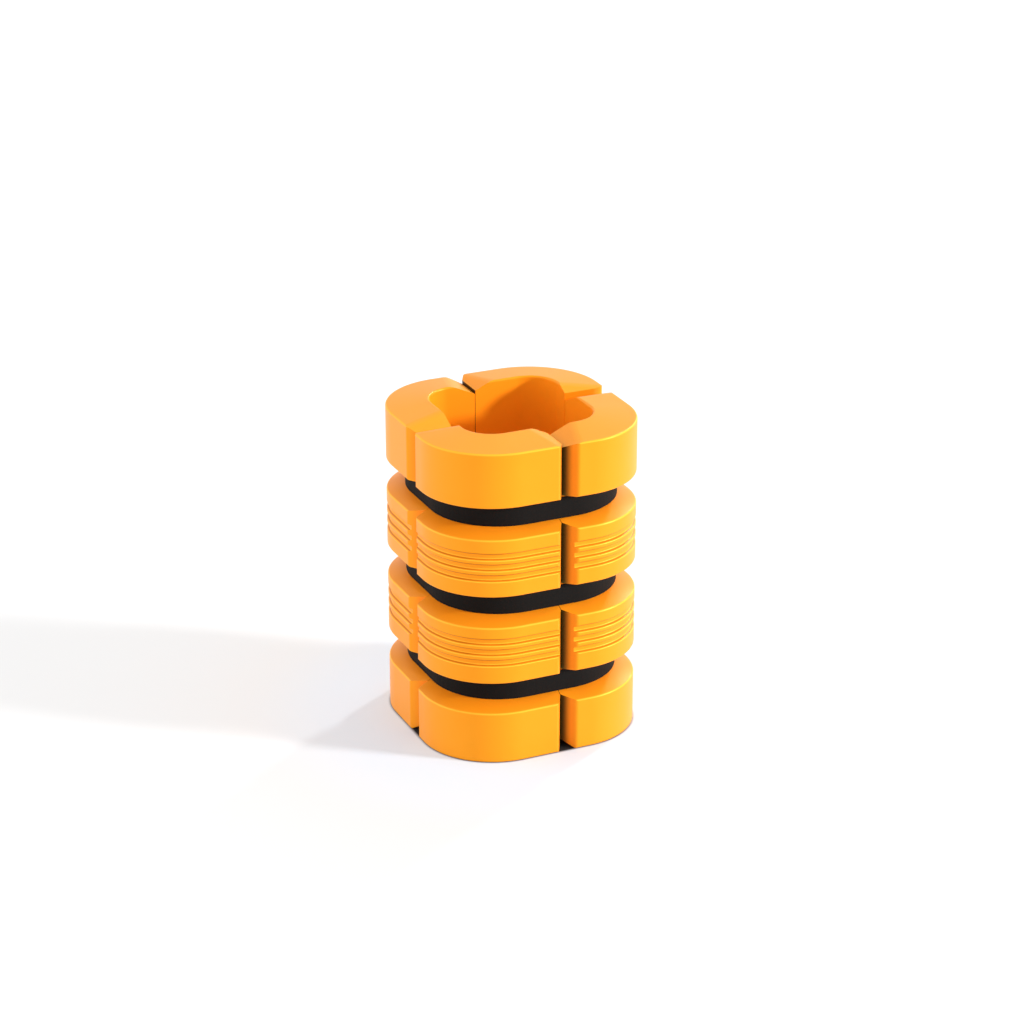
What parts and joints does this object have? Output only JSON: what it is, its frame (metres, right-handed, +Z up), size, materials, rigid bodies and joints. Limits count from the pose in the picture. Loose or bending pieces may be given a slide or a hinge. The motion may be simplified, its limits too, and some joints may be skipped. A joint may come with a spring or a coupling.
{
  "type": "rack column guard",
  "caption": "Moulded guard in corner modules that wrap round a square rack column, held in their channels by dark hook-and-loop straps.",
  "frame": {"origin": "on the floor, at the middle of the column opening", "axes": "+Z up the column, -Y and -X the two sides that meet at the corner nearest the camera in the picture, which looks at the -Y side from a little to its left"},
  "size_m": [0.41, 0.41, 0.6062],
  "materials": {
    "moulded_plastic": "satin polyethylene, safety orange-yellow, coloured right through",
    "webbing": "matt black woven hook-and-loop webbing"
  },
  "bodies": {
    "root": {"corner_front_left": "moulded_plastic", "corner_front_right": "moulded_plastic", "corner_back_right": "moulded_plastic", "corner_back_left": "moulded_plastic", "strap_lower": "webbing", "strap_middle": "webbing", "strap_upper": "webbing"}
  },
  "joints": []
}
